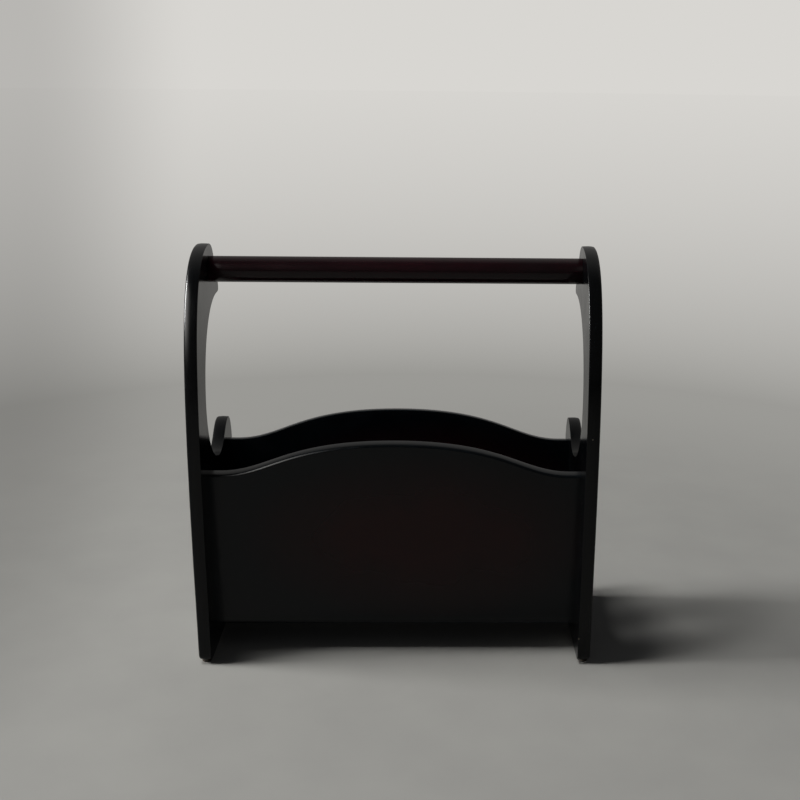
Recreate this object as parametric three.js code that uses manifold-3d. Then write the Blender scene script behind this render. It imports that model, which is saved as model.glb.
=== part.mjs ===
// Magazine basket in lacquered wood.
// Two curved end panels stand on glides and carry a round rail between their heads.
// A leaning front board and back board are dowelled between the end panels,
// and a bottom board sits in grooves all round.
// Millimetres. +X right, front towards -Y, +Z up. Origin on the floor, under the middle.

import * as THREE from 'three';
import { mergeVertices } from 'three/addons/utils/BufferGeometryUtils.js';
import Module from 'manifold-3d';

const wasm = await Module();
wasm.setup();

// Overall

const RACK_WIDTH = 400;
const JOINT_GAP = 0.3;
const CUT_OVERRUN = 2;

// End panels, seen from the side

const END_THICKNESS = 13;
const END_DEPTH = 183;
const END_EDGE_ROUND = 2.6;
const FRONT_BELLY_HEIGHT = 208;
const BACK_BELLY_HEIGHT = 172;
const FOOT_INSET = 7;
const FOOT_ROUND = 9;
const HEAD_RADIUS = 25.4;
const LIP_REACH = 42;
const LIP_DROP = 20.8;
const LIP_THICKNESS = 9.5;
const LIP_LENGTH = 8;
const ARM_DEPTH = 43;
const THROAT_HEIGHT = 266.5;
const SADDLE_HEIGHT = 195.5;
const SADDLE_SETBACK = 15.8;
const SHOULDER_HEIGHT = 219;
const SHOULDER_INSET = 21;

// Carrying rail

const RAIL_DIAMETER = 26;
const RAIL_HEIGHT = 393.4;
const RAIL_SETBACK = 1.6;
const RAIL_TENON_DIAMETER = 16;
const RAIL_TENON_LENGTH = 9;
const RAIL_TENON_CHAMFER = 1;

// Front and back boards

const BOARD_THICKNESS = 12;
const BOARD_EDGE_ROUND = 3;
const BOARD_BASE = 28.7;
const BOARD_END_HEIGHT = 170.4;
const CROWN_RISE = 33.1;
const CROWN_SHELF = 11.3;
const BOARD_BASE_INSET = 48.7;
const BOARD_TOP_INSET = 30.1;

// Bottom board

const BOTTOM_THICKNESS = 9;
const BOTTOM_LIFT = 7;
const GROOVE_DEPTH = 4;

// Dowels

const DOWEL_DIAMETER = 6;
const DOWEL_LENGTH = 25;
const DOWEL_END_DEPTH = 8;
const DOWEL_CHAMFER = 0.8;
const DOWEL_HOLE_SPARE = 0.5;
const DOWEL_EDGE_DISTANCE = 28;
const DOWEL_COUNT = 3;

// Glides under the feet, each held by a nail

const GLIDE_DIAMETER = 9.6;
const GLIDE_HEIGHT = 3.2;
const GLIDE_ROUND = 0.9;
const GLIDE_RECESS_DIAMETER = 5.2;
const GLIDE_RECESS_DEPTH = 1.4;
const GLIDE_SETBACK = 10.5;
const NAIL_HEAD_DIAMETER = 4.4;
const NAIL_HEAD_THICKNESS = 0.7;
const NAIL_SHANK_DIAMETER = 1.6;
const NAIL_LENGTH = 15;
const NAIL_POINT_LENGTH = 2.4;

// Shares of the sizes above that set how full each curve is

const FRONT_LOWER_SHARES = { footDepthShare: 0.32, footHeightShare: 0.3, bellyHeightShare: 0.6 };
const FRONT_UPPER_SHARES = { bellyHeightShare: 0.625, headDepthShare: 0.79 };
const HEAD_BACK_SHARES = { arcEndShare: 0.07, flareShare: 0.1, fallShare: 0.45, sweepShare: 0.7 };
const LIP_SHARES = { noseShare: 1.07, underShare: 0.9 };
const ARM_INNER_SHARES = { lipShare: 0.64, throatShare: 0.53 };
const THROAT_SHARES = { fallShare: 0.57, saddleShare: 0.56 };
const SHOULDER_SHARES = { saddleShare: 0.47, topShare: 0.39, crestShare: 0.56, backShare: 0.33 };
const BACK_LOWER_SHARES = { bellyHeightShare: 0.6, footDepthShare: 0.32, footHeightShare: 0.3 };
const CROWN_SHARES = { leaveShare: 0.28, arriveShare: 0.634 };

// Mesh fineness

const CURVE_SEGMENTS = 14;
const ROUND_SEGMENTS = 3;
const RAIL_SIDES = 48;
const PEG_SIDES = 16;
const GLIDE_SIDES = 24;

// Places worked out from the sizes

const railHalf = RAIL_DIAMETER / 2;
const endOuterX = RACK_WIDTH / 2;
const endInnerX = endOuterX - END_THICKNESS;
const endMiddleX = (endOuterX + endInnerX) / 2;
const headTop = RAIL_HEIGHT + HEAD_RADIUS;
const belly = END_DEPTH / 2;
const foot = belly - FOOT_INSET;
const shoulderY = belly - SHOULDER_INSET;
const lipTip = RAIL_SETBACK + LIP_REACH;
const lipTop = RAIL_HEIGHT - LIP_DROP;
const lipUnderside = lipTop - LIP_THICKNESS;
const boardHeight = BOARD_END_HEIGHT + CROWN_RISE;
const boardBaseY = belly - BOARD_BASE_INSET;
const boardLean = Math.asin((BOARD_BASE_INSET - BOARD_TOP_INSET) / boardHeight);
const boardLength = 2 * (endInnerX - JOINT_GAP);
const bottomUnderside = BOARD_BASE + BOTTOM_LIFT;

// Materials

const lacquer = (color, roughness) => new THREE.MeshStandardMaterial({ color, roughness, metalness: 0 });
const endMaterial = () => lacquer('#141416', 0.22);
const boardMaterial = () => lacquer('#151315', 0.26);
const railMaterial = () => lacquer('#2a1519', 0.24);
const bottomMaterial = () => lacquer('#121214', 0.4);
const beechMaterial = () => lacquer('#c9a671', 0.75);
const glideMaterial = () => lacquer('#b59d78', 0.5);
const steelMaterial = () => new THREE.MeshStandardMaterial({
  color: '#a7a8aa',
  roughness: 0.35,
  metalness: 1,
});

// Cutting and joining

function solidOf(geometry) {
  const bare = geometry.clone();
  bare.deleteAttribute('normal');
  bare.deleteAttribute('uv');
  const merged = mergeVertices(bare);
  return new wasm.Manifold(new wasm.Mesh({
    numProp: 3,
    vertProperties: new Float32Array(merged.attributes.position.array),
    triVerts: new Uint32Array(merged.index.array),
  }));
}

function geometryOf(solid) {
  const mesh = solid.getMesh();
  const geometry = new THREE.BufferGeometry();
  geometry.setAttribute('position', new THREE.BufferAttribute(new Float32Array(mesh.vertProperties), 3));
  geometry.setIndex(new THREE.BufferAttribute(new Uint32Array(mesh.triVerts), 1));
  const faceted = geometry.toNonIndexed();
  faceted.computeVertexNormals();
  return faceted;
}

function cutFrom(mesh, cutters) {
  mesh.updateMatrixWorld(true);
  const toMesh = mesh.matrixWorld.clone().invert();
  let solid = solidOf(mesh.geometry);
  for (const cutter of cutters) {
    cutter.updateMatrixWorld(true);
    const place = toMesh.clone().multiply(cutter.matrixWorld);
    solid = solid.subtract(solidOf(cutter.geometry.clone().applyMatrix4(place)));
  }
  mesh.geometry = geometryOf(solid);
}

function named(name, geometry, material) {
  const mesh = new THREE.Mesh(geometry, material);
  mesh.name = name;
  return mesh;
}

function mix(from, to, share) {
  return from + (to - from) * share;
}

// Turned pieces and round holes, built along X

function turnedAlongX(profile, sides) {
  const points = profile.map(([radius, along]) => new THREE.Vector2(radius, along));
  return new THREE.LatheGeometry(points, sides).rotateZ(-Math.PI / 2);
}

function roundHoleAlongX(diameter, length) {
  const geometry = new THREE.CylinderGeometry(diameter / 2, diameter / 2, length, PEG_SIDES);
  return new THREE.Mesh(geometry.rotateZ(Math.PI / 2));
}

// Side outline of an end panel: x of the shape is depth, y is height

function drawFrontEdge(outline) {
  const base = GLIDE_HEIGHT;
  const lower = FRONT_LOWER_SHARES;
  const upper = FRONT_UPPER_SHARES;
  outline.moveTo(FOOT_ROUND - foot, base);
  outline.quadraticCurveTo(-foot, base, -foot, base + FOOT_ROUND);
  outline.bezierCurveTo(
    -mix(foot, belly, lower.footDepthShare), mix(base, FRONT_BELLY_HEIGHT, lower.footHeightShare),
    -belly, mix(base, FRONT_BELLY_HEIGHT, lower.bellyHeightShare),
    -belly, FRONT_BELLY_HEIGHT,
  );
  outline.bezierCurveTo(
    -belly, mix(FRONT_BELLY_HEIGHT, headTop, upper.bellyHeightShare),
    mix(RAIL_SETBACK, -belly, upper.headDepthShare), headTop,
    RAIL_SETBACK, headTop,
  );
}

function drawHeadAndLip(outline) {
  const back = HEAD_BACK_SHARES;
  const arcEnd = back.arcEndShare * Math.PI;
  const arcEndY = RAIL_SETBACK + HEAD_RADIUS * Math.cos(arcEnd);
  const arcEndZ = RAIL_HEIGHT + HEAD_RADIUS * Math.sin(arcEnd);
  outline.absarc(RAIL_SETBACK, RAIL_HEIGHT, HEAD_RADIUS, Math.PI / 2, arcEnd, true);
  outline.bezierCurveTo(
    mix(arcEndY, lipTip, back.flareShare), mix(arcEndZ, lipTop, back.fallShare),
    mix(arcEndY, lipTip, back.sweepShare), mix(arcEndZ, lipTop, back.sweepShare),
    lipTip, lipTop,
  );
  outline.bezierCurveTo(
    mix(RAIL_SETBACK, lipTip, LIP_SHARES.noseShare), mix(lipTop, lipUnderside, LIP_SHARES.underShare),
    lipTip, lipUnderside,
    lipTip - LIP_LENGTH, lipUnderside,
  );
}

function drawThroat(outline) {
  const inner = ARM_DEPTH - belly;
  outline.bezierCurveTo(
    mix(lipTip - LIP_LENGTH, inner, ARM_INNER_SHARES.lipShare), lipUnderside,
    inner, mix(THROAT_HEIGHT, lipUnderside, ARM_INNER_SHARES.throatShare),
    inner, THROAT_HEIGHT,
  );
  outline.bezierCurveTo(
    inner, mix(THROAT_HEIGHT, SADDLE_HEIGHT, THROAT_SHARES.fallShare),
    mix(SADDLE_SETBACK, inner, THROAT_SHARES.saddleShare), SADDLE_HEIGHT,
    SADDLE_SETBACK, SADDLE_HEIGHT,
  );
}

function drawShoulderAndBack(outline) {
  const base = GLIDE_HEIGHT;
  const top = SHOULDER_SHARES;
  const lower = BACK_LOWER_SHARES;
  outline.bezierCurveTo(
    mix(SADDLE_SETBACK, shoulderY, top.saddleShare), SADDLE_HEIGHT,
    mix(shoulderY, SADDLE_SETBACK, top.topShare), SHOULDER_HEIGHT,
    shoulderY, SHOULDER_HEIGHT,
  );
  outline.bezierCurveTo(
    mix(shoulderY, belly, top.crestShare), SHOULDER_HEIGHT,
    belly, mix(SHOULDER_HEIGHT, BACK_BELLY_HEIGHT, top.backShare),
    belly, BACK_BELLY_HEIGHT,
  );
  outline.bezierCurveTo(
    belly, mix(base, BACK_BELLY_HEIGHT, lower.bellyHeightShare),
    mix(foot, belly, lower.footDepthShare), mix(base, BACK_BELLY_HEIGHT, lower.footHeightShare),
    foot, base + FOOT_ROUND,
  );
  outline.quadraticCurveTo(foot, base, foot - FOOT_ROUND, base);
}

function endPanelOutline() {
  const outline = new THREE.Shape();
  drawFrontEdge(outline);
  drawHeadAndLip(outline);
  drawThroat(outline);
  drawShoulderAndBack(outline);
  outline.closePath();
  return outline;
}

// A board sawn to an outline, with its edges rounded over on both faces

function roundedBoard(outline, thickness, edgeRound) {
  const geometry = new THREE.ExtrudeGeometry(outline, {
    depth: thickness - 2 * edgeRound,
    curveSegments: CURVE_SEGMENTS,
    bevelThickness: edgeRound,
    bevelSize: edgeRound,
    bevelOffset: -edgeRound,
    bevelSegments: ROUND_SEGMENTS,
  });
  return geometry.translate(0, 0, edgeRound - thickness / 2);
}

const depthHeightToWorld = new THREE.Matrix4().makeBasis(
  new THREE.Vector3(0, 1, 0),
  new THREE.Vector3(0, 0, 1),
  new THREE.Vector3(1, 0, 0),
);

// Places of the dowels: along the board's slope, half way through its thickness

function dowelRise(index) {
  const span = BOARD_END_HEIGHT - 2 * DOWEL_EDGE_DISTANCE;
  return DOWEL_EDGE_DISTANCE + span * index / (DOWEL_COUNT - 1);
}

function boardPoint(facing, rise) {
  const depth = boardBaseY + rise * Math.sin(boardLean);
  return { y: facing * depth, z: BOARD_BASE + rise * Math.cos(boardLean) };
}

function dowelPlaces() {
  const places = [];
  for (const [board, facing] of [['front', -1], ['back', 1]]) {
    for (const [end, side] of [['left', -1], ['right', 1]]) {
      for (let index = 0; index < DOWEL_COUNT; index += 1) {
        places.push({ board, end, side, index, ...boardPoint(facing, dowelRise(index)) });
      }
    }
  }
  return places;
}

// Holes and grooves that several pieces share

function dowelHole(place) {
  const length = DOWEL_LENGTH + 2 * DOWEL_HOLE_SPARE;
  const hole = roundHoleAlongX(DOWEL_DIAMETER + 2 * JOINT_GAP, length);
  const centre = endInnerX + DOWEL_END_DEPTH - DOWEL_LENGTH / 2;
  hole.position.set(place.side * centre, place.y, place.z);
  return hole;
}

function bottomHalfDepth() {
  const rise = bottomUnderside - BOARD_BASE;
  return boardBaseY + rise * Math.tan(boardLean) - BOARD_THICKNESS / 2 + GROOVE_DEPTH;
}

function bottomGroove() {
  const groove = new THREE.Mesh(new THREE.BoxGeometry(
    2 * (endInnerX + GROOVE_DEPTH),
    2 * bottomHalfDepth(),
    BOTTOM_THICKNESS + 2 * JOINT_GAP,
  ));
  groove.position.z = bottomUnderside + BOTTOM_THICKNESS / 2;
  return groove;
}

function railSocket(side) {
  const depth = RAIL_TENON_LENGTH + DOWEL_HOLE_SPARE;
  const radius = RAIL_TENON_DIAMETER / 2 + JOINT_GAP;
  const geometry = new THREE.CylinderGeometry(radius, radius, depth + CUT_OVERRUN, RAIL_SIDES);
  const socket = new THREE.Mesh(geometry.rotateZ(Math.PI / 2));
  socket.position.set(side * (endInnerX + (depth - CUT_OVERRUN) / 2), RAIL_SETBACK, RAIL_HEIGHT);
  return socket;
}

function glideY(facing) {
  return facing * (foot - GLIDE_SETBACK);
}

function nailHole(side, facing) {
  const length = NAIL_LENGTH + DOWEL_HOLE_SPARE;
  const radius = NAIL_SHANK_DIAMETER / 2 + JOINT_GAP;
  const geometry = new THREE.CylinderGeometry(radius, radius, length, PEG_SIDES);
  const hole = new THREE.Mesh(geometry.rotateX(Math.PI / 2));
  hole.position.set(side * endMiddleX, glideY(facing), GLIDE_RECESS_DEPTH + length / 2);
  return hole;
}

// Pieces

function endPanel(name, side) {
  const geometry = roundedBoard(endPanelOutline(), END_THICKNESS, END_EDGE_ROUND);
  const panel = named(name, geometry.applyMatrix4(depthHeightToWorld), endMaterial());
  panel.position.x = side * endMiddleX;
  const holes = dowelPlaces().filter((place) => place.side === side).map(dowelHole);
  cutFrom(panel, [...holes, bottomGroove(), railSocket(side), nailHole(side, -1), nailHole(side, 1)]);
  return panel;
}

function camelBackOutline() {
  const half = boardLength / 2 + CUT_OVERRUN + BOARD_EDGE_ROUND;
  const shelf = endInnerX - CROWN_SHELF;
  const outline = new THREE.Shape();
  outline.moveTo(-half, 0);
  outline.lineTo(half, 0);
  outline.lineTo(half, BOARD_END_HEIGHT);
  outline.lineTo(shelf, BOARD_END_HEIGHT);
  outline.bezierCurveTo(
    shelf * (1 - CROWN_SHARES.leaveShare), BOARD_END_HEIGHT,
    shelf * CROWN_SHARES.arriveShare, boardHeight,
    0, boardHeight,
  );
  outline.bezierCurveTo(
    -shelf * CROWN_SHARES.arriveShare, boardHeight,
    -shelf * (1 - CROWN_SHARES.leaveShare), BOARD_END_HEIGHT,
    -shelf, BOARD_END_HEIGHT,
  );
  outline.lineTo(-half, BOARD_END_HEIGHT);
  outline.closePath();
  return outline;
}

function endTrimmer(side) {
  const width = 2 * (CUT_OVERRUN + BOARD_EDGE_ROUND);
  const trimmer = new THREE.Mesh(new THREE.BoxGeometry(width, END_DEPTH, 2 * headTop));
  trimmer.position.x = side * (boardLength + width) / 2;
  return trimmer;
}

function camelBackBoard(name, facing) {
  const geometry = roundedBoard(camelBackOutline(), BOARD_THICKNESS, BOARD_EDGE_ROUND);
  const board = named(name, geometry, boardMaterial());
  board.position.set(0, facing * boardBaseY, BOARD_BASE);
  board.rotation.x = Math.PI / 2 - facing * boardLean;
  const holes = dowelPlaces().filter((place) => name.startsWith(place.board)).map(dowelHole);
  cutFrom(board, [endTrimmer(-1), endTrimmer(1), bottomGroove(), ...holes]);
  return board;
}

function bottomPanel() {
  const geometry = new THREE.BoxGeometry(
    2 * (endInnerX + GROOVE_DEPTH - JOINT_GAP),
    2 * (bottomHalfDepth() - JOINT_GAP),
    BOTTOM_THICKNESS,
  );
  const panel = named('bottom_panel', geometry, bottomMaterial());
  panel.position.z = bottomUnderside + BOTTOM_THICKNESS / 2;
  return panel;
}

function handleRail() {
  const shoulder = endInnerX - JOINT_GAP;
  const tip = endInnerX + RAIL_TENON_LENGTH;
  const tenon = RAIL_TENON_DIAMETER / 2;
  const half = [
    [0, tip],
    [tenon - RAIL_TENON_CHAMFER, tip],
    [tenon, tip - RAIL_TENON_CHAMFER],
    [tenon, shoulder],
    [railHalf, shoulder],
  ];
  const mirrored = half.map(([radius, along]) => [radius, -along]);
  const geometry = turnedAlongX([...mirrored, ...half.reverse()], RAIL_SIDES);
  const rail = named('handle_rail', geometry, railMaterial());
  rail.position.set(0, RAIL_SETBACK, RAIL_HEIGHT);
  return rail;
}

function dowel(place) {
  const half = DOWEL_LENGTH / 2;
  const radius = DOWEL_DIAMETER / 2;
  const profile = [
    [0, -half],
    [radius - DOWEL_CHAMFER, -half],
    [radius, DOWEL_CHAMFER - half],
    [radius, half - DOWEL_CHAMFER],
    [radius - DOWEL_CHAMFER, half],
    [0, half],
  ];
  const name = `${place.board}_${place.end}_dowel_${place.index + 1}`;
  const peg = named(name, turnedAlongX(profile, PEG_SIDES), beechMaterial());
  peg.position.set(place.side * (endInnerX + DOWEL_END_DEPTH - half), place.y, place.z);
  return peg;
}

function glide(name, side, facing) {
  const radius = GLIDE_DIAMETER / 2;
  const recess = GLIDE_RECESS_DIAMETER / 2;
  const bore = NAIL_SHANK_DIAMETER / 2 + JOINT_GAP;
  const top = GLIDE_HEIGHT - JOINT_GAP;
  const profile = [
    [recess, 0],
    [radius - GLIDE_ROUND, 0],
    [radius - GLIDE_ROUND * (1 - Math.SQRT1_2), GLIDE_ROUND * (1 - Math.SQRT1_2)],
    [radius, GLIDE_ROUND],
    [radius, top],
    [bore, top],
    [bore, GLIDE_RECESS_DEPTH],
    [recess, GLIDE_RECESS_DEPTH],
    [recess, 0],
  ];
  const points = profile.map(([across, height]) => new THREE.Vector2(across, height));
  const geometry = new THREE.LatheGeometry(points, GLIDE_SIDES).rotateX(Math.PI / 2);
  const pad = named(name, geometry, glideMaterial());
  pad.position.set(side * endMiddleX, glideY(facing), 0);
  return pad;
}

function glideNail(name, side, facing) {
  const head = NAIL_HEAD_DIAMETER / 2;
  const shank = NAIL_SHANK_DIAMETER / 2;
  const headTopZ = GLIDE_RECESS_DEPTH - JOINT_GAP;
  const tip = headTopZ - NAIL_HEAD_THICKNESS + NAIL_LENGTH;
  const profile = [
    [0, headTopZ - NAIL_HEAD_THICKNESS],
    [head, headTopZ - NAIL_HEAD_THICKNESS],
    [head, headTopZ],
    [shank, headTopZ],
    [shank, tip - NAIL_POINT_LENGTH],
    [0, tip],
  ];
  const points = profile.map(([across, height]) => new THREE.Vector2(across, height));
  const geometry = new THREE.LatheGeometry(points, PEG_SIDES).rotateX(Math.PI / 2);
  const nail = named(name, geometry, steelMaterial());
  nail.position.set(side * endMiddleX, glideY(facing), 0);
  return nail;
}

function feet() {
  const pieces = [];
  for (const [end, side] of [['left', -1], ['right', 1]]) {
    for (const [place, facing] of [['front', -1], ['back', 1]]) {
      pieces.push(glide(`${place}_${end}_glide`, side, facing));
      pieces.push(glideNail(`${place}_${end}_glide_nail`, side, facing));
    }
  }
  return pieces;
}

const basket = new THREE.Group();
basket.add(endPanel('left_end_panel', -1));
basket.add(endPanel('right_end_panel', 1));
basket.add(camelBackBoard('front_panel', -1));
basket.add(camelBackBoard('back_panel', 1));
basket.add(bottomPanel());
basket.add(handleRail());
basket.add(...dowelPlaces().map(dowel));
basket.add(...feet());

export default basket;
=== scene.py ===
# Magazine basket in near-black lacquer: two swan-neck end panels, a round rail between their heads,
# two leaning camel-back boards and a bottom board, on four small glides.
# Metres. +X right, front towards -Y, +Z up. Origin on the floor, under the middle.

import math

import bmesh
import bpy
from mathutils import Matrix, Vector
from mathutils.geometry import interpolate_bezier


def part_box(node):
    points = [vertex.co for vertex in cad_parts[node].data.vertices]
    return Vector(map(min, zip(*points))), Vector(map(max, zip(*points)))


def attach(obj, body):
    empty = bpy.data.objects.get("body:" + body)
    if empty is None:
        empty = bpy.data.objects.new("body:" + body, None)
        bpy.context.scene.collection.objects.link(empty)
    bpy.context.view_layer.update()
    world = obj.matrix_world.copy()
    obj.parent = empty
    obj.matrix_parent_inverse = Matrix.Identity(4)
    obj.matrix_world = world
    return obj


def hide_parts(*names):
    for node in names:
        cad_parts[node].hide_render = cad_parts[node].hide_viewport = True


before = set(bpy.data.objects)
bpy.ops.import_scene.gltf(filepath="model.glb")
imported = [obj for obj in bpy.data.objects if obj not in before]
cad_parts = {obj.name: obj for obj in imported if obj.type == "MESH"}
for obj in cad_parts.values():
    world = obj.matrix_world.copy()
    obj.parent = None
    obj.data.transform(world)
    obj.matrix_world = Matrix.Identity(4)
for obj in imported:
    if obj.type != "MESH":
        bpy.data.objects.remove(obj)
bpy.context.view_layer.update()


# End panels
# Two 13 mm wooden boards, sawn to a swan-neck outline, rounded over with a router along the outer edge
# and only eased along the inner one. Dowels, a groove and a socket join them to the other pieces.

MM = 0.001

END_OUTER_ROUND = 2.6 * MM
END_INNER_ROUND = 0.5 * MM
END_BASE = 3.2 * MM
FRONT_BELLY_HEIGHT = 208 * MM
BACK_BELLY_HEIGHT = 172 * MM
FOOT_INSET = 7 * MM
FOOT_ROUND = 9 * MM
HEAD_RADIUS = 25.4 * MM
RAIL_HEIGHT = 393.4 * MM
RAIL_SETBACK = 1.6 * MM
LIP_REACH = 42 * MM
LIP_DROP = 20.8 * MM
LIP_THICKNESS = 9.5 * MM
LIP_LENGTH = 8 * MM
ARM_DEPTH = 43 * MM
THROAT_HEIGHT = 266.5 * MM
SADDLE_HEIGHT = 195.5 * MM
SADDLE_SETBACK = 15.8 * MM
SHOULDER_HEIGHT = 219 * MM
SHOULDER_INSET = 21 * MM

CURVE_STEPS = 36
ROUND_STEPS = 8

end_low, end_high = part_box("left_end_panel")
end_thickness = end_high.x - end_low.x
end_inner_x = -end_high.x
end_middle_x = end_inner_x + end_thickness / 2
belly = end_high.y
foot = belly - FOOT_INSET
heel_height = END_BASE + FOOT_ROUND
shoulder_y = belly - SHOULDER_INSET
arm_inner = ARM_DEPTH - belly
lip_tip = RAIL_SETBACK + LIP_REACH
lip_top = RAIL_HEIGHT - LIP_DROP
lip_underside = lip_top - LIP_THICKNESS
head_top = RAIL_HEIGHT + HEAD_RADIUS


def mix(low, high, share):
    """The value that lies this share of the way from low to high."""
    return low + (high - low) * share


def curve(*places, steps=CURVE_STEPS):
    """Points along one cubic curve, given by its end points and its two handles."""
    start, leave, arrive, end = (Vector(place) for place in places)
    return interpolate_bezier(start, leave, arrive, end, steps)


def corner(start, tip, end):
    """A softened corner: the curve leaves start towards tip and arrives at end from tip."""
    two_thirds = 2 / 3
    leave = [mix(a, b, two_thirds) for a, b in zip(start, tip)]
    arrive = [mix(a, b, two_thirds) for a, b in zip(end, tip)]
    return curve(start, leave, arrive, end, steps=ROUND_STEPS)


# Shares of the sizes above set how full each curve of the outline is.
LOWER_EDGE_SHARES = {"foot depth": 0.32, "foot height": 0.3, "belly height": 0.6}
UPPER_EDGE_SHARES = {"belly height": 0.625, "head depth": 0.79}


def front_edge():
    """From the foot, up over the belly, to the top of the head."""
    shares = LOWER_EDGE_SHARES
    toe = corner((FOOT_ROUND - foot, END_BASE), (-foot, END_BASE), (-foot, heel_height))
    lower = curve(
        (-foot, heel_height),
        (-mix(foot, belly, shares["foot depth"]), mix(END_BASE, FRONT_BELLY_HEIGHT, shares["foot height"])),
        (-belly, mix(END_BASE, FRONT_BELLY_HEIGHT, shares["belly height"])),
        (-belly, FRONT_BELLY_HEIGHT),
    )
    upper = curve(
        (-belly, FRONT_BELLY_HEIGHT),
        (-belly, mix(FRONT_BELLY_HEIGHT, head_top, UPPER_EDGE_SHARES["belly height"])),
        (mix(RAIL_SETBACK, -belly, UPPER_EDGE_SHARES["head depth"]), head_top),
        (RAIL_SETBACK, head_top),
    )
    return toe + lower + upper


HEAD_ARC_END_SHARE = 0.07
HEAD_BACK_SHARES = {"flare": 0.1, "fall": 0.45, "sweep": 0.7}
LIP_SHARES = {"nose": 1.07, "under": 0.9}


def head_and_lip():
    """From the top of the head, round the rail, down to the lip and round its nose."""
    arc_end = HEAD_ARC_END_SHARE * math.pi
    turns = [mix(math.pi / 2, arc_end, step / CURVE_STEPS) for step in range(CURVE_STEPS + 1)]
    arc = [
        Vector((RAIL_SETBACK + HEAD_RADIUS * math.cos(turn), RAIL_HEIGHT + HEAD_RADIUS * math.sin(turn)))
        for turn in turns
    ]
    start = arc[-1]
    sweep = HEAD_BACK_SHARES["sweep"]
    fall = curve(
        start,
        (mix(start.x, lip_tip, HEAD_BACK_SHARES["flare"]), mix(start.y, lip_top, HEAD_BACK_SHARES["fall"])),
        (mix(start.x, lip_tip, sweep), mix(start.y, lip_top, sweep)),
        (lip_tip, lip_top),
    )
    nose = curve(
        (lip_tip, lip_top),
        (mix(RAIL_SETBACK, lip_tip, LIP_SHARES["nose"]), mix(lip_top, lip_underside, LIP_SHARES["under"])),
        (lip_tip, lip_underside),
        (lip_tip - LIP_LENGTH, lip_underside),
        steps=CURVE_STEPS // 2,
    )
    return arc + fall + nose


ARM_INNER_SHARES = {"lip": 0.64, "throat": 0.53}
THROAT_SHARES = {"fall": 0.57, "saddle": 0.56}


def throat():
    """From the lip, down the inside of the arm, to the lowest point of the cut-out."""
    lip_root = lip_tip - LIP_LENGTH
    arm = curve(
        (lip_root, lip_underside),
        (mix(lip_root, arm_inner, ARM_INNER_SHARES["lip"]), lip_underside),
        (arm_inner, mix(THROAT_HEIGHT, lip_underside, ARM_INNER_SHARES["throat"])),
        (arm_inner, THROAT_HEIGHT),
    )
    bowl = curve(
        (arm_inner, THROAT_HEIGHT),
        (arm_inner, mix(THROAT_HEIGHT, SADDLE_HEIGHT, THROAT_SHARES["fall"])),
        (mix(SADDLE_SETBACK, arm_inner, THROAT_SHARES["saddle"]), SADDLE_HEIGHT),
        (SADDLE_SETBACK, SADDLE_HEIGHT),
    )
    return arm + bowl


SHOULDER_SHARES = {"saddle": 0.47, "top": 0.39, "crest": 0.56, "back": 0.33}


def shoulder_and_back():
    """From the lowest point of the cut-out, over the back shoulder, down to the back foot."""
    rise = curve(
        (SADDLE_SETBACK, SADDLE_HEIGHT),
        (mix(SADDLE_SETBACK, shoulder_y, SHOULDER_SHARES["saddle"]), SADDLE_HEIGHT),
        (mix(shoulder_y, SADDLE_SETBACK, SHOULDER_SHARES["top"]), SHOULDER_HEIGHT),
        (shoulder_y, SHOULDER_HEIGHT),
    )
    crest = curve(
        (shoulder_y, SHOULDER_HEIGHT),
        (mix(shoulder_y, belly, SHOULDER_SHARES["crest"]), SHOULDER_HEIGHT),
        (belly, mix(SHOULDER_HEIGHT, BACK_BELLY_HEIGHT, SHOULDER_SHARES["back"])),
        (belly, BACK_BELLY_HEIGHT),
    )
    shares = LOWER_EDGE_SHARES
    lower = curve(
        (belly, BACK_BELLY_HEIGHT),
        (belly, mix(END_BASE, BACK_BELLY_HEIGHT, shares["belly height"])),
        (mix(foot, belly, shares["foot depth"]), mix(END_BASE, BACK_BELLY_HEIGHT, shares["foot height"])),
        (foot, heel_height),
    )
    heel = corner((foot, heel_height), (foot, END_BASE), (foot - FOOT_ROUND, END_BASE))
    return rise + crest + lower + heel


SMALLEST_STEP = 0.05 * MM


def without_repeats(points):
    """Leaves out each point that all but repeats the one before it."""
    kept = []
    for point in points:
        if not kept or (point - kept[-1]).length > SMALLEST_STEP:
            kept.append(point)
    return kept


def inward_normals(outline):
    """Unit normals of a closed clockwise outline, pointing into it."""
    normals = []
    for index, point in enumerate(outline):
        along = outline[(index + 1) % len(outline)] - outline[index - 1]
        normals.append(Vector((along.y, -along.x)).normalized())
    return normals


OUTER_CROWN = math.radians(12)
INNER_CROWN = math.radians(4)
CROWN_STEPS = 3
FLAT_MARGIN = 0.6 * MM


def rounded_half(half_thickness, edge_round, crown_angle):
    """Half of an edge's profile: how far off the board's middle, how far in from its outline, and wear.

    Sanding leaves the flat of the edge slightly crowned, so it runs into the rounding without a line.
    """
    flat = half_thickness - edge_round + edge_round * math.sin(crown_angle)
    crown = flat * math.tan(crown_angle) / 2
    parts = [step / CROWN_STEPS for step in range(CROWN_STEPS)]
    half = [(flat * part, crown * part ** 2, 0) for part in parts]
    for step in range(ROUND_STEPS + 1):
        turn = mix(crown_angle, math.pi / 2, step / ROUND_STEPS)
        across = half_thickness - edge_round + edge_round * math.sin(turn)
        inset = crown + edge_round * (math.cos(crown_angle) - math.cos(turn))
        half.append((across, inset, math.sin(2 * turn)))
    half.append((half_thickness, inset + FLAT_MARGIN, 0))
    return half


def rounded_rings(half_thickness, inner_round, outer_round):
    """The whole profile of an edge, from the basket's inside to its outside."""
    inner = rounded_half(half_thickness, inner_round, INNER_CROWN)
    inner_side = [(-across, inset, wear) for across, inset, wear in reversed(inner[1:])]
    return inner_side + rounded_half(half_thickness, outer_round, OUTER_CROWN)


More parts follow.
